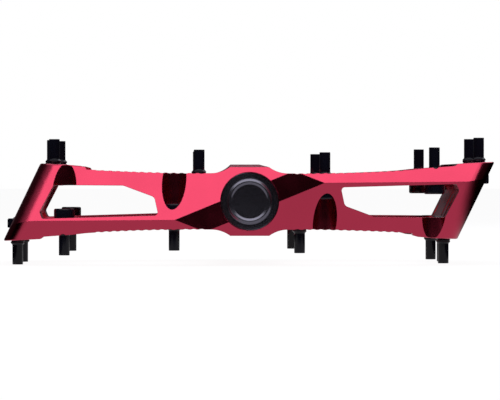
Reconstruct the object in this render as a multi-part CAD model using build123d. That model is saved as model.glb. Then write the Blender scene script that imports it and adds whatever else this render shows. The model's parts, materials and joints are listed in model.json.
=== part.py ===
from build123d import *

import math
import os

# Flat pedal. Lengths in mm. The spindle axis is Y and the origin is where the spindle collar seats
# on the crank arm: +Y runs out along the crank thread, -Y is the outboard end, +X is forward, +Z up.

# platform
WIDTH = 102.0  # along the spindle
INNER_Y = -7.0  # crank end of the platform
OUTER_Y = INNER_Y - WIDTH
MID_Y = (INNER_Y + OUTER_Y) / 2
END_X = 51.15  # front and rear ends at mid width, on the spindle's level
SLANT = 0.48  # ends lean forward this much per unit of height
END_BOW_R = 1325.0  # ends bow outwards on this radius
UPPER_CORNER_R = 6.0  # between the ends and the upper facets
LOWER_CORNER_R = 3.0  # between the ends and the lower facets
TIP_R = 0.25
BLUNT_R = 0.5
END_BAR = 4.5  # thickness of the front and rear bars

# swept end facets: two planes fall away from a narrow diagonal land on each side
FACET_FALL = 0.48
FACET_POINT = (-16.6, -4.09)
UPPER_FACET = (-0.379, 0.925)
LOWER_FACET = (-0.363, -0.932)

# deck heights, as (x, z), for the side facing up; the other side is the same turned half a turn
HUB_FLANK_X = 8.5
HUB_FLANK_R = 7.0
DECK_REAR = [(-8.5, 6.26), (-22.0, 6.50), (-36.2, 7.1)]
PAD_REAR = [(-36.5, 7.62), (-37.6, 7.92), (-41.0, 8.2), (-62.0, 9.2)]
DECK_FRONT = [(8.5, 6.2), (22.0, 6.38), (36.0, 7.02)]
PAD_FRONT = [(39.2, 7.38), (45.7, 7.85), (46.4, 8.38), (62.0, 9.2)]
HUB_TOP_OUTER = 7.6
HUB_TOP_INNER = 8.45
GROOVE_PITCH = 1.76
GROOVE_DEPTH = 0.13
GROOVE_R = 1.6
GROOVE_FIRST_X = 10.6
GROOVE_COUNT = 14

# windows open up and down, between hub and end bars
HUB_HALF = 10.0
RAIL_AT_HUB = 13.2  # distance of a rail's inner edge from the platform's end
RAIL_SWEEP = 0.126
HUB_CORNER_R = 5.0
BAR_CORNER_R = 9.0

# windows through the rails, in the plane of the end (rear one; the front one is turned half a turn)
WINDOW = [(-43.5, 3.6), (-28.0, 3.5), (-21.1, 0.95), (-20.2, -3.1), (-46.0, -3.85), (-46.6, -2.4)]
WINDOW_R = [0.5, 2.0, 1.2, 0.7, 0.5, 0.8]
INNER_WINDOW_GROWTH = 0.5

# hub bore
BUSH_R = 7.0
BUSH_LEN = 10.0
SEAL_LEN = 2.5
BORE_INNER_Y = -20.6
CORE_R = 6.1
BEARING_BORE_R = 6.5
HUB_BOSS_R = 8.3
HUB_BOSS_LEN = 12.0

# traction pins, identical; (name, x, distance from the platform's end, height of the tip)
PIN_TIP_R = 1.2
PIN_TIP_LEN = 4.45
PIN_CONE_LEN = 0.45
PIN_THREAD_R = 1.575
PIN_LEN = 8.3  # under the head
PIN_HEAD_R = 2.3
PIN_HEAD_LEN = 2.1
PIN_KEY = 2.0
PIN_KEY_DEPTH = 1.3
POCKET_R = 2.7
CORNER_PIN = ("corner", -43.5, 17.0, 13.9)
END_MID_PIN = ("end_mid", -44.7, 51.0, 13.9)
HUB_INNER_PIN = ("hub_inner", -11.15, 7.0, 11.5)
HUB_OUTER_PIN = ("hub_outer", 16.7, 3.8, 10.9)
RAIL_PIN = ("rail", 41.1, 7.3, 12.0)
END_PAIR_PIN = ("end_pair", 52.0, 28.5, 14.3)
PAIRED_PINS = [CORNER_PIN, HUB_INNER_PIN, HUB_OUTER_PIN, RAIL_PIN, END_PAIR_PIN]

# spindle, along Y
THREAD_R = 7.144  # 9/16 in
THREAD_END = 13.5
COLLAR_R = 8.2
COLLAR_LEN = 5.6
JOURNAL_R = 6.0
JOURNAL_END = -24.0
RUNNING_GAP = 0.03
TAPER_R = 4.2
SEAT_R = 3.0
SEAT_START = -84.0
SPINDLE_END = -104.4
SPINDLE_KEY = 8.0

# cartridge bearings, 6 x 13 x 5, counted from the inboard one
BEARING_WIDTH = 5.0
BEARING_STARTS = {"bearing_1": -84.0, "bearing_2": -93.5}
SPACER_LEN = 4.5
BALL_R = 0.992
BALL_PITCH_R = 4.75
BALL_COUNT = 9
INNER_RACE_R = 3.95
OUTER_RACE_R = 5.55
RACE_GAP = 0.025
SHIELD_T = 0.25

# lock nut, washer and end cap
WASHER_LEN = 0.8
NUT_LEN = 4.0
NUT_FLATS = 10.0
CAP_FACE_Y = OUTER_Y + 1.95
CAP_LEN = 3.4
CAP_RING_R = 5.0
CAP_CREST_R = 4.55
CAP_DISH_R = 3.9
O_RING_CUT_R = 5.7


def xz_face(points, y):
    return Face(Wire.make_polygon([Vector(x, y, z) for x, z in points]))


def half_turn(shape):
    return Rot(0, 180, 0) * shape


def both_sides(shape):
    return [shape, half_turn(shape)]


def half_space(point, normal):
    place = Plane(origin=point, z_dir=normal)
    return place * Box(500, 500, 250, align=(Align.CENTER, Align.CENTER, Align.MIN))


def y_cylinder(radius, start, end):
    low = min(start, end)
    place = Plane(origin=(0, low, 0), z_dir=(0, 1, 0))
    return place * Cylinder(radius, abs(end - start), align=(Align.CENTER, Align.CENTER, Align.MIN))


def z_cylinder(radius, x, y, low, high):
    stand = Cylinder(radius, high - low, align=(Align.CENTER, Align.CENTER, Align.MIN))
    return Pos(x, y, low) * stand


def y_ring(outer, inner, start, end):
    return y_cylinder(outer, start, end) - y_cylinder(inner, start - 1, end + 1)


def revolved(points):
    # points are (radius, y); the solid turns about the spindle axis
    outline = Wire.make_polygon([Vector(r, y, 0) for r, y in points])
    return revolve(Face(outline), axis=Axis.Y)


def end_cylinder(inset, side):
    # the bowed, leaning surface of an end, moved inwards by inset
    tilt = math.atan(SLANT)
    reach = END_BOW_R / math.cos(tilt)
    centre_x = side * (END_X - reach)
    place = Plane(origin=(centre_x, MID_Y, 0), z_dir=(math.sin(tilt), 0, math.cos(tilt)))
    return place * Cylinder(END_BOW_R - inset, 2 * END_BOW_R)


def facet_cutter(normal, turn, end_y, inward):
    nx, nz = normal
    x, z = FACET_POINT
    point = (turn * x, end_y, turn * z)
    return half_space(point, (FACET_FALL * turn * nx, -inward, FACET_FALL * turn * nz))


def faceted(shape, normal):
    for turn in (1, -1):
        shape -= facet_cutter(normal, turn, OUTER_Y, 1)
        shape -= facet_cutter(normal, turn, INNER_Y, -1)
    return shape


def end_corners(shape):
    # the edges where the sloping facets meet the swept ends
    facets = [f for f in shape.faces() if f.geom_type == GeomType.PLANE and abs(f.normal_at().Y) < 0.95]
    facets = [f for f in facets if abs(f.center().Z) < 14.5]
    facet_edges = [e for f in facets for e in f.edges()]
    end_edges = [e for f in end_faces(shape) for e in f.edges()]
    return [e for e in end_edges if any(e.is_same(other) for other in facet_edges)]


def swept_block(normal, radius):
    # the block between the swept ends, with one pair of facets at each end, rounded into them
    shape = faceted(Pos(0, MID_Y, 0) * Box(140, WIDTH, 30), normal)
    shape &= end_cylinder(0, 1)
    shape &= end_cylinder(0, -1)
    return fillet(end_corners(shape), radius)


def hull():
    # the outer shape with swept ends and rounded corners, taller than the decks
    return swept_block(UPPER_FACET, UPPER_CORNER_R) & swept_block(LOWER_FACET, LOWER_CORNER_R)


def end_faces(shape):
    return [f for f in shape.faces() if f.geom_type == GeomType.CYLINDER and f.area > 500]


def deck_points():
    # the outline seen along the spindle, one side from rear to front
    rear_z = DECK_REAR[0][1] + HUB_FLANK_R
    rear_top = arc_point(-HUB_FLANK_X, rear_z, 50, 1)
    rear_mid = arc_point(-HUB_FLANK_X, rear_z, 25, 1)
    front_z = DECK_FRONT[0][1] + HUB_FLANK_R
    front_top = arc_point(HUB_FLANK_X, front_z, 50, -1)
    front_mid = arc_point(HUB_FLANK_X, front_z, 25, -1)
    rear = list(reversed(PAD_REAR)) + [DECK_REAR[2]]
    return rear, rear_top, rear_mid, front_top, front_mid


def arc_point(x, centre_z, degrees, side):
    turn = math.radians(degrees)
    return (x + side * HUB_FLANK_R * math.sin(turn), centre_z - HUB_FLANK_R * math.cos(turn))


def at(point, turn, y):
    x, z = point
    return Vector(turn * x, y, turn * z)


def polyline(points, turn, y):
    ends = [at(p, turn, y) for p in points]
    return [Line(a, b) for a, b in zip(ends, ends[1:])]


def arc(a, b, c, turn, y):
    return [ThreePointArc(at(a, turn, y), at(b, turn, y), at(c, turn, y))]


def side_outline(turn, y):
    rear, rear_top, rear_mid, front_top, front_mid = deck_points()
    edges = polyline(rear, turn, y)
    edges += arc(DECK_REAR[2], DECK_REAR[1], DECK_REAR[0], turn, y)
    edges += arc(DECK_REAR[0], rear_mid, rear_top, turn, y)
    edges += polyline([rear_top, front_top], turn, y)
    edges += arc(front_top, front_mid, DECK_FRONT[0], turn, y)
    edges += arc(DECK_FRONT[0], DECK_FRONT[1], DECK_FRONT[2], turn, y)
    edges += polyline([DECK_FRONT[2]] + PAD_FRONT, turn, y)
    return edges


def side_profile():
    # both decks, joined beyond the ends
    y = INNER_Y + 1
    edges = side_outline(1, y) + side_outline(-1, y)
    front = PAD_FRONT[-1]
    rear = PAD_REAR[-1]
    edges += [Line(at(front, 1, y), at(rear, -1, y)), Line(at(rear, 1, y), at(front, -1, y))]
    face = Face(Wire(edges))
    return Solid.extrude(face, Vector(0, -(WIDTH + 2), 0))


def hub_top_cutter():
    # the hub is lower at the outboard end
    points = [(OUTER_Y - 5, hub_top(OUTER_Y - 5)), (INNER_Y + 5, hub_top(INNER_Y + 5))]
    points += [(INNER_Y + 5, 20), (OUTER_Y - 5, 20)]
    face = Face(Wire.make_polygon([Vector(-8, y, z) for y, z in points]))
    return Solid.extrude(face, Vector(16, 0, 0))


def hub_top(y):
    share = (y - OUTER_Y) / WIDTH
    return HUB_TOP_OUTER + share * (HUB_TOP_INNER - HUB_TOP_OUTER)


def plan_window():
    # the front opening between hub and end bar, open up and down
    far = 60.0
    near_gap = RAIL_AT_HUB
    far_gap = RAIL_AT_HUB + RAIL_SWEEP * (far - HUB_HALF)
    corners = [(HUB_HALF, OUTER_Y + near_gap), (far, OUTER_Y + far_gap)]
    corners += [(far, INNER_Y - far_gap), (HUB_HALF, INNER_Y - near_gap)]
    face = Face(Wire.make_polygon([Vector(x, y, -20) for x, y in corners]))
    prism = Solid.extrude(face, Vector(0, 0, 40))
    opening = prism & end_cylinder(END_BAR, 1)
    uprights = [e for e in opening.edges() if abs(e.center().Z) < 3 and e.length > 39]
    hub_side = [e for e in uprights if e.center().X < HUB_HALF + 1]
    bar_side = [e for e in uprights if e.center().X > HUB_HALF + 1]
    opening = fillet(hub_side, HUB_CORNER_R)
    bar_side = [e for e in opening.edges() if e.length > 39 and e.center().X > 30]
    bar_side = [e for e in bar_side if abs(e.tangent_at(0.5).X) > 0.1]
    return fillet(bar_side, BAR_CORNER_R)


def rounded_prism(points, radii, start, end):
    solid = Solid.extrude(xz_face(points, start), Vector(0, end - start, 0))
    for point, radius in zip(points, radii):
        near = [e for e in solid.edges() if abs(e.tangent_at(0.5).Y) > 0.99]
        near = [e for e in near if abs(e.center().X - point[0]) + abs(e.center().Z - point[1]) < 0.05]
        solid = fillet(near, radius)
    return solid


def side_window(start, end, growth):
    points = list(WINDOW)
    for i in (0, 4, 5):
        points[i] = (points[i][0] - growth, points[i][1])
    return rounded_prism(points, WINDOW_R, start, end)


def side_windows():
    outer = side_window(OUTER_Y - 1, OUTER_Y + 40, 0.0)
    inner = side_window(INNER_Y - 40, INNER_Y + 1, INNER_WINDOW_GROWTH)
    return both_sides(outer) + both_sides(inner)


def circle_through(a, b, c):
    # centre and radius of the circle through three (x, z) points
    d = 2 * (a[0] * (b[1] - c[1]) + b[0] * (c[1] - a[1]) + c[0] * (a[1] - b[1]))
    sa = a[0] ** 2 + a[1] ** 2
    sb = b[0] ** 2 + b[1] ** 2
    sc = c[0] ** 2 + c[1] ** 2
    x = (sa * (b[1] - c[1]) + sb * (c[1] - a[1]) + sc * (a[1] - b[1])) / d
    z = (sa * (c[0] - b[0]) + sb * (a[0] - c[0]) + sc * (b[0] - a[0])) / d
    return x, z, math.hypot(a[0] - x, a[1] - z)


def groove_cutters():
    cutters = []
    for deck, sign in ((DECK_REAR, -1), (DECK_FRONT, 1)):
        cx, cz, radius = circle_through(*deck)
        for i in range(GROOVE_COUNT):
            x = sign * (GROOVE_FIRST_X + i * GROOVE_PITCH)
            deck_z = cz - math.sqrt(radius**2 - (x - cx) ** 2)
            groove = y_cylinder(GROOVE_R, OUTER_Y - 1, INNER_Y + 1)
            cutters += both_sides(Pos(x, 0, deck_z + GROOVE_R - GROOVE_DEPTH) * groove)
    return cutters


def pin_places():
    # (name, x, y, tip height, +1 for the side facing up or -1 for the side facing down)
    places = []
    for side, face in ((1, "top"), (-1, "under")):
        for name, x, gap, tip in PAIRED_PINS:
            places.append((f"pin_{face}_{name}_outboard", side * x, OUTER_Y + gap, tip, side))
            places.append((f"pin_{face}_{name}_inboard", side * x, INNER_Y - gap, tip, side))
        name, x, gap, tip = END_MID_PIN
        places.append((f"pin_{face}_{name}", side * x, OUTER_Y + gap, tip, side))
    return places


def pin_hole_cutters():
    cutters = []
    for name, x, y, tip, side in pin_places():
        seat = tip - PIN_LEN
        hole = z_cylinder(PIN_THREAD_R, side * x, y, seat - 1, 20)
        pocket = z_cylinder(POCKET_R, side * x, y, -20, seat)
        for cutter in (hole, pocket):
            cutters.append(cutter if side > 0 else half_turn(cutter))
    return cutters


def bore_cutters():
    last_bearing = BEARING_STARTS["bearing_1"]
    mouth = y_cylinder(BUSH_R, BORE_INNER_Y, INNER_Y + 5)
    core = y_cylinder(CORE_R, last_bearing - 1, BORE_INNER_Y + 1)
    seat = y_cylinder(BEARING_BORE_R, OUTER_Y - 5, last_bearing)
    return [mouth, core, seat]


def outer_deck_edges(shape, acute):
    # where the decks meet the bowed ends and their rounded corners, on the sharp or the blunt side
    found = []
    for edge in shape.edges():
        middle = edge.center()
        sharp = middle.X * middle.Z > 0
        at_end = abs(middle.X) > 43 and abs(middle.Z) > 7.5 and edge.length > 8
        level = abs(edge.tangent_at(0.5).Z) < 0.4
        if at_end and level and sharp == acute and not beside_window(middle):
            found.append(edge)
    return found


def beside_window(middle):
    bow = (middle.Y - MID_Y) ** 2 / (2 * END_BOW_R)
    reach = abs(middle.X - SLANT * middle.Z) + bow
    return reach < END_X - 4.0 and abs(middle.Y - MID_Y) < 35


def platform_body():
    shape = hull()
    shape -= both_sides(plan_window())
    shape &= side_profile()
    shape = fillet(outer_deck_edges(shape, True), TIP_R)
    shape = fillet(outer_deck_edges(shape, False), BLUNT_R)
    shape -= both_sides(hub_top_cutter())
    shape += y_cylinder(HUB_BOSS_R, INNER_Y - HUB_BOSS_LEN, INNER_Y)
    shape -= groove_cutters()
    shape -= side_windows()
    shape -= pin_hole_cutters()
    shape -= bore_cutters()
    return shape


def hexagon(flats, start, length):
    # a hexagonal prism along Y
    place = Plane(origin=(0, start, 0), x_dir=(1, 0, 0), z_dir=(0, 1, 0))
    outline = place * RegularPolygon(flats / 2, 6, major_radius=False)
    return extrude(outline, amount=length)


def spindle():
    profile = [(0, SPINDLE_END), (SEAT_R - 0.4, SPINDLE_END), (SEAT_R, SPINDLE_END + 0.4)]
    profile += [(SEAT_R, SEAT_START), (TAPER_R, SEAT_START), (TAPER_R + 0.3, SEAT_START + 6)]
    profile += [(JOURNAL_R - 0.5, JOURNAL_END - 4), (JOURNAL_R, JOURNAL_END), (JOURNAL_R, -COLLAR_LEN)]
    profile += [(COLLAR_R - 0.6, -COLLAR_LEN), (COLLAR_R, -COLLAR_LEN + 0.6), (COLLAR_R, -0.4)]
    profile += [(COLLAR_R - 0.4, 0), (THREAD_R, 0)]
    profile += [(THREAD_R, THREAD_END - 1.0), (THREAD_R - 1.0, THREAD_END), (0, THREAD_END)]
    shape = revolved(profile)
    shape -= hexagon(SPINDLE_KEY, THREAD_END - 8.0, 9.0)
    return shape


def bushing():
    start = INNER_Y - SEAL_LEN - 0.1
    return y_ring(BUSH_R, JOURNAL_R + RUNNING_GAP, start - BUSH_LEN, start)


def lip_seal():
    start = INNER_Y - SEAL_LEN
    lip = JOURNAL_R + RUNNING_GAP
    profile = [(BUSH_R, start), (BUSH_R, INNER_Y - 0.3), (lip + 0.3, INNER_Y - 0.3)]
    profile += [(lip, INNER_Y - 0.8), (lip, INNER_Y - 1.3), (lip + 0.35, INNER_Y - 1.6), (lip + 0.35, start)]
    return revolved(profile)


def outer_race(start):
    end = start - BEARING_WIDTH
    ring = y_ring(BEARING_BORE_R, OUTER_RACE_R, end, start)
    ring -= y_cylinder(OUTER_RACE_R + 0.2, start - SHIELD_T - 0.05, start + 1)
    ring -= y_cylinder(OUTER_RACE_R + 0.2, end - 1, end + SHIELD_T + 0.05)
    return ring - ball_track(start)


def inner_race(start):
    ring = y_ring(INNER_RACE_R, SEAT_R, start - BEARING_WIDTH, start)
    return ring - ball_track(start)


def ball_track(start):
    middle = start - BEARING_WIDTH / 2
    place = Plane(origin=(0, middle, 0), z_dir=(0, 1, 0))
    return place * Torus(BALL_PITCH_R, BALL_R + RACE_GAP)


def ball_places(start):
    middle = start - BEARING_WIDTH / 2
    turns = [2 * math.pi * i / BALL_COUNT for i in range(BALL_COUNT)]
    return [(BALL_PITCH_R * math.cos(t), middle, BALL_PITCH_R * math.sin(t)) for t in turns]


def ball_set(start):
    return Compound([Solid.make_sphere(BALL_R).moved(Pos(*place)) for place in ball_places(start)])


def cage(start):
    middle = start - BEARING_WIDTH / 2
    ring = y_ring(BALL_PITCH_R + 0.4, BALL_PITCH_R - 0.4, middle - 1.4, middle + 1.4)
    for i in range(BALL_COUNT):
        pocket = Pos(BALL_PITCH_R, middle, 0) * Rot(0, 90, 0) * Cylinder(BALL_R + 0.03, 2.0)
        ring -= Rot(0, -360 * i / BALL_COUNT, 0) * pocket
    return ring


def shield(start, outward):
    # a flat washer held in the outer race
    edge = start if outward > 0 else start - BEARING_WIDTH
    inside = edge - outward * SHIELD_T
    return y_ring(OUTER_RACE_R + 0.2, INNER_RACE_R + 0.1, inside, edge)


def nut_start():
    return BEARING_STARTS["bearing_2"] - BEARING_WIDTH - WASHER_LEN


def lock_nut():
    start = nut_start()
    nut = hexagon(NUT_FLATS, start - NUT_LEN, NUT_LEN)
    corner = NUT_FLATS / 2 / math.cos(math.pi / 6)
    profile = [(0, start - NUT_LEN), (NUT_FLATS / 2, start - NUT_LEN), (corner + 0.2, start - NUT_LEN + 0.6)]
    profile += [(corner + 0.2, start - 0.6), (NUT_FLATS / 2, start), (0, start)]
    nut = nut & revolved(profile)
    return nut - y_cylinder(SEAT_R, start - NUT_LEN - 1, start + 1)


def end_cap():
    face = CAP_FACE_Y
    back = face + CAP_LEN
    groove = face + 1.1
    profile = [(0, face + 0.35), (CAP_DISH_R - 1.2, face + 0.25), (CAP_DISH_R, face + 0.05)]
    profile += [(CAP_CREST_R - 0.12, face - 0.55), (CAP_CREST_R + 0.12, face - 0.55), (CAP_RING_R, face)]
    profile += [(BEARING_BORE_R - 0.25, face), (BEARING_BORE_R, face + 0.25)]
    profile += [(BEARING_BORE_R, groove), (O_RING_CUT_R, groove), (O_RING_CUT_R, groove + 1.0)]
    profile += [(BEARING_BORE_R, groove + 1.0), (BEARING_BORE_R, back), (4.9, back)]
    profile += [(4.9, face + 1.6), (0, face + 1.6)]
    return revolved(profile)


def cap_o_ring():
    start = CAP_FACE_Y + 1.1
    return y_ring(BEARING_BORE_R, O_RING_CUT_R, start, start + 1.0)


def pin_solid():
    # upright, the underside of the head at z = 0 and the tip up
    cone_top = PIN_LEN - PIN_TIP_LEN
    profile = [(0, -PIN_HEAD_LEN), (PIN_HEAD_R - 0.5, -PIN_HEAD_LEN), (PIN_HEAD_R, -PIN_HEAD_LEN + 0.5)]
    profile += [(PIN_HEAD_R, -0.25), (PIN_HEAD_R - 0.25, 0), (PIN_THREAD_R, 0)]
    profile += [(PIN_THREAD_R, cone_top - PIN_CONE_LEN), (PIN_TIP_R, cone_top), (PIN_TIP_R, PIN_LEN - 0.2)]
    profile += [(PIN_TIP_R - 0.2, PIN_LEN), (0, PIN_LEN)]
    outline = Wire.make_polygon([Vector(r, 0, z) for r, z in profile])
    shape = revolve(Face(outline), axis=Axis.Z)
    key = RegularPolygon(PIN_KEY / 2, 6, major_radius=False)
    return shape - extrude(Pos(0, 0, -PIN_HEAD_LEN - 1) * key, amount=PIN_KEY_DEPTH + 1)


def pins():
    made = {}
    shape = pin_solid()
    for name, x, y, tip, side in pin_places():
        placed = Pos(side * x, y, tip - PIN_LEN) * shape
        made[name] = placed if side > 0 else half_turn(placed)
    return made


def bearing_parts():
    made = {}
    for name, start in BEARING_STARTS.items():
        made[f"{name}_outer_race"] = outer_race(start)
        made[f"{name}_inner_race"] = inner_race(start)
        made[f"{name}_ball_set"] = ball_set(start)
        made[f"{name}_cage"] = cage(start)
        made[f"{name}_inboard_shield"] = shield(start, 1)
        made[f"{name}_outboard_shield"] = shield(start, -1)
    return made


def all_parts():
    spacer_start = BEARING_STARTS["bearing_1"] - BEARING_WIDTH
    spacer_end = BEARING_STARTS["bearing_2"]
    washer = nut_start()
    made = {"platform_body": platform_body(), "spindle": spindle(), "bushing_inboard": bushing()}
    made["lip_seal"] = lip_seal()
    made.update(bearing_parts())
    made["inner_spacer"] = y_ring(4.0, SEAT_R, spacer_end, spacer_start)
    made["outer_spacer"] = y_ring(BEARING_BORE_R, 5.7, spacer_end, spacer_start)
    made["nut_washer"] = y_ring(3.9, SEAT_R, washer, washer + WASHER_LEN)
    made["lock_nut"] = lock_nut()
    made["end_cap"] = end_cap()
    made["cap_o_ring"] = cap_o_ring()
    made.update(pins())
    return made


def main():
    os.makedirs("parts", exist_ok=True)
    for name, shape in all_parts().items():
        shape.label = name
        export_step(shape, f"parts/{name}.step")


main()
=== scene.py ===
"""A red flat pedal seen from its outboard end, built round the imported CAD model.

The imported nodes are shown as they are, except that the spindle, the pins and the end cap are turned
here again, with their threads and softer rings, and replace their nodes.
"""

import json
import math

import bmesh
import bpy
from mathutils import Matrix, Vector


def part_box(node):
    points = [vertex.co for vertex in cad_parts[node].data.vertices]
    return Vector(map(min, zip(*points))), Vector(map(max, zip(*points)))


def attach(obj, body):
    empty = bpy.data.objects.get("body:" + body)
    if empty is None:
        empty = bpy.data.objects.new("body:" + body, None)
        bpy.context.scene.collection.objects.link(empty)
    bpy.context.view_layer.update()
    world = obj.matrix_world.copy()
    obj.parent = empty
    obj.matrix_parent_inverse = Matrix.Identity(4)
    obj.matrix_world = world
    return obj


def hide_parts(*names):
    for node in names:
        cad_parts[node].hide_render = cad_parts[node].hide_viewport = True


MM = 0.001
WHITE = (1.0, 1.0, 1.0, 1.0)

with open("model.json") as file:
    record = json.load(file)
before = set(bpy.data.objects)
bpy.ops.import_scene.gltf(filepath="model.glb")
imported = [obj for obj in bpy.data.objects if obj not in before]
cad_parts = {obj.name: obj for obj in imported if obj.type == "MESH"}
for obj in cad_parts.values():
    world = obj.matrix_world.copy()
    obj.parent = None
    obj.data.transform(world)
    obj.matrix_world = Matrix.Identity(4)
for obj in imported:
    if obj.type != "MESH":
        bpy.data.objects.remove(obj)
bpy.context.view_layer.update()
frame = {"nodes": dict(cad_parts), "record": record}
NODES = frame["nodes"]


# ---------------------------------------------------------------- nodes

class Tree:
    """Short calls for building a node tree."""

    def __init__(self, tree):
        self.tree = tree
        tree.nodes.clear()

    def node(self, kind, **values):
        made = self.tree.nodes.new("ShaderNode" + kind)
        for name, value in values.items():
            setattr(made, name, value)
        return made

    def link(self, output, socket):
        self.tree.links.new(output, socket)

    def fill(self, socket, value):
        if isinstance(value, bpy.types.NodeSocket):
            self.link(value, socket)
        else:
            socket.default_value = value

    def math(self, operation, a, b=0.0):
        made = self.node("Math", operation=operation)
        self.fill(made.inputs[0], a)
        self.fill(made.inputs[1], b)
        return made.outputs[0]

    def remap(self, value, span, to_low, to_high, smooth=False):
        made = self.node("MapRange", clamp=True)
        if smooth:
            made.interpolation_type = "SMOOTHSTEP"
        for index, number in enumerate((value, *span, to_low, to_high)):
            self.fill(made.inputs[index], number)
        return made.outputs[0]

    def mix_colour(self, factor, a, b):
        made = self.node("Mix", data_type="RGBA")
        self.fill(made.inputs["Factor"], factor)
        self.fill(made.inputs["A"], a)
        self.fill(made.inputs["B"], b)
        return made.outputs["Result"]

    def choose(self, factor, without, within):
        """The shader without the factor mixed with the one within it."""
        made = self.node("MixShader")
        self.link(factor, made.inputs[0])
        self.link(without, made.inputs[1])
        self.link(within, made.inputs[2])
        return made.outputs[0]

    def plain_shader(self, kind, colour):
        made = self.node(kind)
        made.inputs["Color"].default_value = colour
        return made

    def noise(self, vector, scale, detail):
        made = self.node("TexNoise")
        self.fill(made.inputs["Vector"], vector)
        made.inputs["Scale"].default_value = scale
        made.inputs["Detail"].default_value = detail
        return made.outputs["Fac"]

    def object_coordinates(self, scale=(1.0, 1.0, 1.0)):
        place = self.node("TexCoord").outputs["Object"]
        mapping = self.node("Mapping")
        self.link(place, mapping.inputs["Vector"])
        mapping.inputs["Scale"].default_value = scale
        return mapping.outputs["Vector"]


# ---------------------------------------------------------------- finishes

CLOUD_SCALE = 90.0  # of the uneven colour, per metre
CLOUD_DETAIL = 3.0
CLOUD_SPAN = (0.3, 0.7)
SMUDGE_SCALE = 260.0  # of the uneven gloss, per metre
SMUDGE_DETAIL = 4.0
SMUDGE_SHARE = 0.6
GRAIN_DETAIL = 3.0
GRAIN_SHARE = 0.4
GLOSS_SPAN = (0.35, 0.65)
BEVEL_SAMPLES = 4


def shaded(colour, share):
    return (*[channel * share for channel in colour], 1.0)


def make_material(name, colour, metallic, roughness, grain_mm, grain_depth_mm,
                  variation=0.06, roughness_spread=0.05, stretch=(1.0, 1.0, 1.0),
                  coat=0.0, coat_roughness=0.1, edge_mm=0.0, specular=0.5):
    """A finish with a little uneven colour and gloss, and a fine grain of the given size."""
    material = bpy.data.materials.new(name)
    material.use_nodes = True
    tree = Tree(material.node_tree)
    output = tree.node("OutputMaterial")
    shader = tree.node("BsdfPrincipled")
    tree.link(shader.outputs["BSDF"], output.inputs["Surface"])

    place = tree.object_coordinates()
    cloud = tree.noise(place, CLOUD_SCALE, CLOUD_DETAIL)
    tone = tree.remap(cloud, CLOUD_SPAN, 0.0, 1.0)
    low = shaded(colour, 1.0 - variation)
    high = shaded(colour, 1.0 + variation)
    tree.link(tree.mix_colour(tone, low, high), shader.inputs["Base Color"])

    grain = tree.noise(tree.object_coordinates(stretch), 1.0 / (grain_mm * MM), GRAIN_DETAIL)
    smudge = tree.noise(place, SMUDGE_SCALE, SMUDGE_DETAIL)
    fine = tree.math("MULTIPLY", grain, GRAIN_SHARE)
    broad = tree.math("MULTIPLY", smudge, SMUDGE_SHARE)
    gloss = tree.math("ADD", fine, broad)
    low_gloss = roughness - roughness_spread
    rough = tree.remap(gloss, GLOSS_SPAN, low_gloss, roughness + roughness_spread)
    tree.link(rough, shader.inputs["Roughness"])

    bump = tree.node("Bump")
    bump.inputs["Distance"].default_value = grain_depth_mm * MM
    bump.inputs["Strength"].default_value = 1.0
    tree.link(grain, bump.inputs["Height"])
    if edge_mm:
        bevel = tree.node("Bevel", samples=BEVEL_SAMPLES)
        bevel.inputs["Radius"].default_value = edge_mm * MM
        tree.link(bevel.outputs["Normal"], bump.inputs["Normal"])
    tree.link(bump.outputs["Normal"], shader.inputs["Normal"])

    shader.inputs["Metallic"].default_value = metallic
    shader.inputs["Specular IOR Level"].default_value = specular
    shader.inputs["Coat Weight"].default_value = coat
    shader.inputs["Coat Roughness"].default_value = coat_roughness
    return material


def make_finishes():
    return {
        "platform_red": make_material(
            "platform_red", (0.73, 0.054, 0.12), 1.0, 0.23, 0.09, 0.0006,
            variation=0.03, roughness_spread=0.03, coat=0.2, coat_roughness=0.2, edge_mm=0.15),
        "spindle_steel": make_material(
            "spindle_steel", (0.56, 0.55, 0.54), 1.0, 0.28, 0.12, 0.002, stretch=(0.15, 1.0, 0.15)),
        "bearing_steel": make_material(
            "bearing_steel", (0.66, 0.65, 0.64), 1.0, 0.18, 0.1, 0.0005),
        "pin_black": make_material(
            "pin_black", (0.006, 0.006, 0.012), 0.0, 0.13, 0.08, 0.0004,
            variation=0.12, roughness_spread=0.03, specular=0.3),
        "rubber_black": make_material(
            "rubber_black", (0.02, 0.02, 0.021), 0.0, 0.62, 0.12, 0.002),
        "bushing_polymer": make_material(
            "bushing_polymer", (0.35, 0.33, 0.27), 0.0, 0.45, 0.15, 0.001),
        "cap_black": make_material(
            "cap_black", (0.18, 0.175, 0.22), 0.9, 0.22, 0.1, 0.0004, variation=0.04),
        "cage_brass": make_material(
            "cage_brass", (0.72, 0.47, 0.18), 1.0, 0.3, 0.1, 0.001),
    }


def dress():
    for part in frame["record"]["subparts"]:
        mesh = NODES[part["node"]].data
        mesh.materials.clear()
        mesh.materials.append(FINISHES[part["material_slot"]])


# ---------------------------------------------------------------- camera, world and lights

CAMERA_PLACE = Vector((-15.4, -1441.0, 4.7)) * MM
CAMERA_AIM = Vector((0.06, -109.0, 0.33)) * MM
CAMERA_LENS = 434.2
CAMERA_SENSOR = 36.0

# the world as the pedal sees it, by height or depth of the direction looked in
ROOM_TINT = (0.93, 0.9, 1.0, 1.0)
ROOM_STRENGTH = 0.012
CEILING_STRENGTH = 0.55
CEILING_SPAN = (0.58, 0.85)
BACK_STRENGTH = 0.06
BACK_SPAN = (0.86, 0.97)

LIGHT_AIM = Vector((0.0, -0.06, 0.0))


def look_from(place, aim):
    return (aim - place).to_track_quat("-Z", "Y").to_euler()


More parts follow.
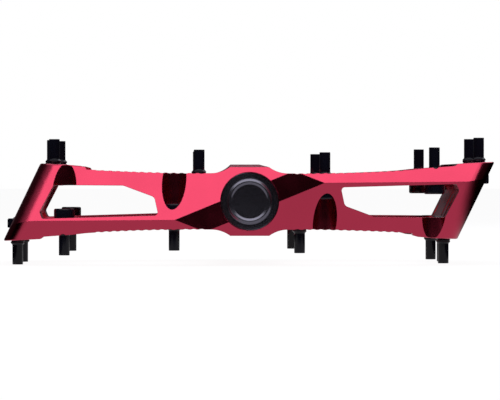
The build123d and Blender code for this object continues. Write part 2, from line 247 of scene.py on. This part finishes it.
def make_camera():
    data = bpy.data.cameras.new("camera")
    data.lens = CAMERA_LENS
    data.sensor_width = CAMERA_SENSOR
    data.clip_start = 0.01
    data.clip_end = 100.0
    camera = bpy.data.objects.new("camera", data)
    bpy.context.scene.collection.objects.link(camera)
    camera.location = CAMERA_PLACE
    camera.rotation_euler = look_from(CAMERA_PLACE, CAMERA_AIM)
    bpy.context.scene.camera = camera


def make_world():
    """White to the camera; to the pedal a dark room with a lit ceiling and a faint back wall."""
    world = bpy.data.worlds.new("studio")
    bpy.context.scene.world = world
    world.use_nodes = True
    tree = Tree(world.node_tree)
    output = tree.node("OutputWorld")
    parts = tree.node("SeparateXYZ")
    tree.link(tree.node("TexCoord").outputs["Generated"], parts.inputs[0])
    ceiling = tree.remap(parts.outputs["Z"], CEILING_SPAN, 0.0, CEILING_STRENGTH, True)
    back = tree.remap(parts.outputs["Y"], BACK_SPAN, 0.0, BACK_STRENGTH, True)
    strength = tree.math("ADD", tree.math("ADD", ceiling, back), ROOM_STRENGTH)
    room = tree.plain_shader("Background", ROOM_TINT)
    tree.link(strength, room.inputs["Strength"])
    seen = tree.plain_shader("Background", WHITE)
    is_camera = tree.node("LightPath").outputs["Is Camera Ray"]
    mixed = tree.choose(is_camera, room.outputs[0], seen.outputs[0])
    tree.link(mixed, output.inputs["Surface"])


def area_light(name, place, width, height, power, colour):
    data = bpy.data.lights.new(name, "AREA")
    data.shape = "RECTANGLE"
    data.size = width
    data.size_y = height
    data.energy = power
    data.color = colour
    light = bpy.data.objects.new(name, data)
    bpy.context.scene.collection.objects.link(light)
    light.location = place
    light.rotation_euler = look_from(Vector(place), LIGHT_AIM)
    light.visible_camera = False


def make_lights():
    area_light("softbox", (0.0, -0.72, 0.75), 1.7, 0.8, 4.6, (1.0, 1.0, 1.0))
    area_light("back_softbox", (0.3, 0.66, 0.72), 1.2, 0.7, 3.0, (0.95, 0.95, 1.0))


# ---------------------------------------------------------------- floor

FLOOR_Z = -14.3 * MM
FLOOR_HALF = 12.0
FLOOR_GREY = (0.8, 0.8, 0.8, 1.0)
FLOOR_GLOW = 0.93  # to the camera, which leaves room for a faint shadow
SHADOW_GREY = (0.14, 0.14, 0.14, 1.0)

# the bright patch of floor under the pedal, as its glossy faces see it
PATCH_TINT = (1.0, 0.98, 1.0, 1.0)
PATCH_STRENGTH = 0.47
PATCH_SIDE = (0.055, 0.07)
PATCH_FRONT = (-0.155, -0.132)
PATCH_BACK = (0.02, 0.07)


def patch_strength(tree):
    place = tree.node("SeparateXYZ")
    tree.link(tree.node("TexCoord").outputs["Object"], place.inputs[0])
    x, y, _ = place.outputs
    beside = tree.remap(tree.math("ABSOLUTE", x), PATCH_SIDE, PATCH_STRENGTH, 0.0, True)
    ahead = tree.remap(y, PATCH_FRONT, 0.0, 1.0, True)
    behind = tree.remap(y, PATCH_BACK, 1.0, 0.0, True)
    return tree.math("MULTIPLY", beside, tree.math("MULTIPLY", ahead, behind))


def floor_material():
    """Grey to lamps, nearly white to the camera, and a patch of light to glossy faces."""
    material = bpy.data.materials.new("floor")
    material.use_nodes = True
    tree = Tree(material.node_tree)
    output = tree.node("OutputMaterial")
    path = tree.node("LightPath")
    plain = tree.plain_shader("BsdfDiffuse", FLOOR_GREY)
    glow = tree.plain_shader("Emission", WHITE)
    glow.inputs["Strength"].default_value = FLOOR_GLOW
    shadow = tree.plain_shader("BsdfDiffuse", SHADOW_GREY)
    seen = tree.node("AddShader")
    tree.link(shadow.outputs[0], seen.inputs[0])
    tree.link(glow.outputs[0], seen.inputs[1])
    patch = tree.plain_shader("Emission", PATCH_TINT)
    tree.link(patch_strength(tree), patch.inputs["Strength"])
    looks = tree.choose(path.outputs["Is Camera Ray"], plain.outputs[0], seen.outputs[0])
    mixed = tree.choose(path.outputs["Is Glossy Ray"], looks, patch.outputs[0])
    tree.link(mixed, output.inputs["Surface"])
    return material


def make_floor():
    mesh = bpy.data.meshes.new("floor")
    signs = ((-1, -1), (1, -1), (1, 1), (-1, 1))
    corners = [(x * FLOOR_HALF, y * FLOOR_HALF, FLOOR_Z) for x, y in signs]
    mesh.from_pydata(corners, [], [(0, 1, 2, 3)])
    mesh.materials.append(floor_material())
    floor = bpy.data.objects.new("floor", mesh)
    bpy.context.scene.collection.objects.link(floor)


# ---------------------------------------------------------------- turned pieces

CORNER_STEPS = 4  # of a rounded corner
THREAD_STEPS = 8  # rings in one turn of thread
THREAD_CREST = 1.25  # a tooth, before it is cut off flat at 0 and 1
THREAD_FLANK = 2.5
SHARP_EDGE = 0.6  # radians, above which an edge is not smoothed


def soften(points):
    """A profile of (radius, height, rounding) with its corners rounded."""
    made = []
    for index, (radius, height, rounding) in enumerate(points):
        here = Vector((radius, height))
        if not rounding:
            made.append(tuple(here))
            continue
        before = Vector(points[index - 1][:2]) - here
        after = Vector(points[index + 1][:2]) - here
        start = here + before.normalized() * rounding
        end = here + after.normalized() * rounding
        for step in range(CORNER_STEPS + 1):
            t = step / CORNER_STEPS
            made.append(tuple(start * (1 - t) ** 2 + here * 2 * t * (1 - t) + end * t**2))
    return made


def rounds(points):
    """Rings that are round, as (radius at an angle, height)."""
    return [(lambda angle, radius=radius: radius, height) for radius, height in points]


def hexagon_ring(flats, height):
    def radius(angle):
        turn = angle % (math.pi / 3) - math.pi / 6
        return flats / 2 / math.cos(turn)
    return (radius, height)


def hexagon_rings(points):
    """Rings of a hexagon socket, as (width across flats, height)."""
    return [hexagon_ring(flats, height) for flats, height in points]


def thread_rings(crest, root, pitch, start, end, runout, end_radius):
    """Rings of a right-hand thread that fades in from the crest and out to the end radius."""
    made = []
    count = round(abs(end - start) / pitch * THREAD_STEPS)
    for index in range(count + 1):
        height = start + (end - start) * index / count
        fade = min(1.0, abs(height - start) / runout, abs(height - end) / runout)
        edge = crest if abs(height - start) < abs(height - end) else end_radius

        def radius(angle, height=height, fade=fade, edge=edge):
            phase = (height / pitch - angle / math.tau) % 1.0
            tooth = min(1.0, max(0.0, THREAD_CREST - THREAD_FLANK * abs(phase - 0.5)))
            cut = root + (crest - root) * tooth
            return min(crest, edge + (cut - edge) * fade)

        made.append((radius, height))
    return made


def ring_points(rings, segments, along_y):
    """The points of every ring, then the middle of the first and of the last."""
    points = []
    for radius, height in rings:
        for index in range(segments):
            angle = math.tau * index / segments
            across = radius(angle) * math.cos(angle)
            other = radius(angle) * math.sin(angle)
            points.append((across, height, other) if along_y else (across, other, height))
    for height in (rings[0][1], rings[-1][1]):
        points.append((0, height, 0) if along_y else (0, 0, height))
    return [Vector(point) * MM for point in points]


def ring_faces(count, segments):
    """Quads between neighbouring rings and a fan of triangles at each end."""
    faces = []
    base = (count - 1) * segments
    first_middle = count * segments
    for row in range(0, base, segments):
        for index in range(segments):
            a = row + index
            b = row + (index + 1) % segments
            faces.append((a, b, b + segments, a + segments))
    for index in range(segments):
        following = (index + 1) % segments
        faces.append((following, index, first_middle))
        faces.append((base + index, base + following, first_middle + 1))
    return faces


def turned_mesh(name, rings, segments, along_y=False):
    """A closed mesh through the rings, which are in millimetres."""
    mesh = bpy.data.meshes.new(name)
    points = ring_points(rings, segments, along_y)
    mesh.from_pydata(points, [], ring_faces(len(rings), segments))
    work = bmesh.new()
    work.from_mesh(mesh)
    bmesh.ops.recalc_face_normals(work, faces=work.faces)
    for face in work.faces:
        face.smooth = True
    for edge in work.edges:
        edge.smooth = edge.calc_face_angle(0.0) < SHARP_EDGE
    work.to_mesh(mesh)
    work.free()
    return mesh


def place_piece(name, mesh, node, slot):
    piece = bpy.data.objects.new(name, mesh)
    bpy.context.scene.collection.objects.link(piece)
    if not mesh.materials:
        mesh.materials.append(FINISHES[slot])
    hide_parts(node)
    return piece


# ---------------------------------------------------------------- pins

PIN_LENGTH = 8.3  # under the head
PIN_HEAD = 2.1
PIN_HEAD_R = 2.3
PIN_TIP = 4.45
PIN_TIP_R = 1.2
PIN_CONE = 0.45
PIN_THREAD_R = 1.575
PIN_ROOT_R = 1.34
PIN_PITCH = 0.5
PIN_RUNOUT = 0.35
PIN_SOCKET = 2.0  # across flats
PIN_SEGMENTS = 36


def pin_mesh():
    """A traction pin, the underside of its head at height 0 and its tip up."""
    face = -PIN_HEAD
    cone_top = PIN_LENGTH - PIN_TIP
    cone_foot = cone_top - PIN_CONE
    rings = hexagon_rings([(1.7, face + 1.3), (PIN_SOCKET, face + 1.2)])
    rings += hexagon_rings([(PIN_SOCKET, face + 0.12), (2.25, face)])
    rings += rounds(soften([
        (1.5, face, 0), (PIN_HEAD_R, face, 0.42), (PIN_HEAD_R, 0, 0.22), (1.7, 0, 0),
        (PIN_THREAD_R, 0.01, 0)]))
    rings += thread_rings(
        PIN_THREAD_R, PIN_ROOT_R, PIN_PITCH, 0.05, cone_foot, PIN_RUNOUT, PIN_THREAD_R)
    rings += rounds(soften([
        (PIN_THREAD_R, cone_foot + 0.03, 0), (PIN_TIP_R, cone_top, 0.12),
        (PIN_TIP_R, PIN_LENGTH, 0.16), (0.3, PIN_LENGTH, 0)]))
    return turned_mesh("traction_pin", rings, PIN_SEGMENTS)


def make_pins():
    mesh = pin_mesh()
    for node in sorted(NODES):
        if not node.startswith("pin_"):
            continue
        low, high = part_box(node)
        up = node.startswith("pin_top")
        piece = place_piece("screw_" + node, mesh, node, "pin_black")
        seat = high.z - PIN_LENGTH * MM if up else low.z + PIN_LENGTH * MM
        piece.location = ((low.x + high.x) / 2, (low.y + high.y) / 2, seat)
        piece.rotation_euler = (0.0, 0.0 if up else math.pi, 0.0)
        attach(piece, "platform")


# ---------------------------------------------------------------- spindle

SPINDLE_THREAD_R = 7.144
SPINDLE_ROOT_R = 6.36
SPINDLE_PITCH = 1.27
SPINDLE_RUNOUT = 1.0
SPINDLE_SOCKET = 8.0  # across flats
NUT_THREAD_R = 3.0
SEAT_R = 4.2
JOURNAL_R = 6.0
COLLAR_BACK = -5.6
TURNED_SEGMENTS = 96


def spindle_shaft(start, collar):
    """From the outboard end's centre hole to the foot of the crank thread."""
    hole = [(0.5, start + 0.3, 0), (2.3, start + 0.3, 0), (2.6, start, 0.15)]
    nut_thread = [(NUT_THREAD_R, start + 0.4, 0.1), (NUT_THREAD_R, -84.05, 0.1)]
    seat = [(SEAT_R, -84.0, 0.15), (4.5, -78.0, 0)]
    journal = [(5.5, -28.0, 0), (JOURNAL_R, -24.0, 0.3), (JOURNAL_R, COLLAR_BACK, 0.1)]
    shoulder = [(collar, COLLAR_BACK, 0.45), (collar, 0.0, 0.4), (7.3, 0.0, 0.15)]
    return soften(hole + nut_thread + seat + journal + shoulder + [(SPINDLE_THREAD_R, 0.3, 0)])


def make_spindle():
    low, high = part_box("spindle")
    end = high.y / MM
    rings = rounds(spindle_shaft(low.y / MM, high.x / MM))
    rings += thread_rings(
        SPINDLE_THREAD_R, SPINDLE_ROOT_R, SPINDLE_PITCH, 0.35, end - 0.9, SPINDLE_RUNOUT, 6.5)
    rings += rounds([(6.3, end - 0.55), (5.95, end - 0.1), (5.6, end)])
    rings += hexagon_rings([(8.7, end), (SPINDLE_SOCKET, end - 0.4)])
    rings += hexagon_rings([(SPINDLE_SOCKET, end - 7.9), (7.4, end - 8.0)])
    mesh = turned_mesh("pedal_spindle", rings, TURNED_SEGMENTS, along_y=True)
    piece = place_piece("threaded_spindle", mesh, "spindle", "spindle_steel")
    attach(piece, "spindle")


# ---------------------------------------------------------------- end cap

CAP_R = 6.5
CAP_GROOVE_R = 5.7
CAP_HOLLOW_R = 4.9
CAP_EDGE = 0.55  # from the top of the ring back to the cap's edge
CAP_FOOT = 0.3  # from the top of the ring back to its foot
CAP_DISH = 0.25  # from the cap's edge forward to the flat dish inside the ring
RING_R = 4.4
RING_HALF = 0.72
RING_RISE = 0.3
RING_STEPS = 16


def ring_profile(rim):
    """The cap's raised ring, a smooth hump from its inner foot to its outer one."""
    made = []
    for step in range(RING_STEPS + 1):
        share = 2.0 * step / RING_STEPS - 1.0
        rise = RING_RISE * (0.5 + 0.5 * math.cos(math.pi * share))
        made.append((RING_R + RING_HALF * share, rim + CAP_FOOT - rise, 0))
    return made


def make_end_cap():
    low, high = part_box("end_cap")
    rim = low.y / MM
    back = high.y / MM
    face = rim + CAP_EDGE
    profile = [(0.3, face - CAP_DISH, 0)]
    profile += ring_profile(rim)
    profile += [(5.2, face, 0), (CAP_R, face, 0.2), (CAP_R, face + 1.1, 0)]
    profile += [(CAP_GROOVE_R, face + 1.1, 0), (CAP_GROOVE_R, face + 2.1, 0)]
    profile += [(CAP_R, face + 2.1, 0), (CAP_R, back, 0.1)]
    profile += [(CAP_HOLLOW_R, back, 0), (CAP_HOLLOW_R, face + 1.6, 0), (0.3, face + 1.6, 0)]
    mesh = turned_mesh("turned_cap", rounds(soften(profile)), TURNED_SEGMENTS, along_y=True)
    piece = place_piece("turned_end_cap", mesh, "end_cap", "cap_black")
    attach(piece, "platform")


make_camera()
make_world()
make_lights()
make_floor()
FINISHES = make_finishes()
dress()
make_pins()
make_spindle()
make_end_cap()
bpy.context.scene.view_settings.view_transform = "Standard"
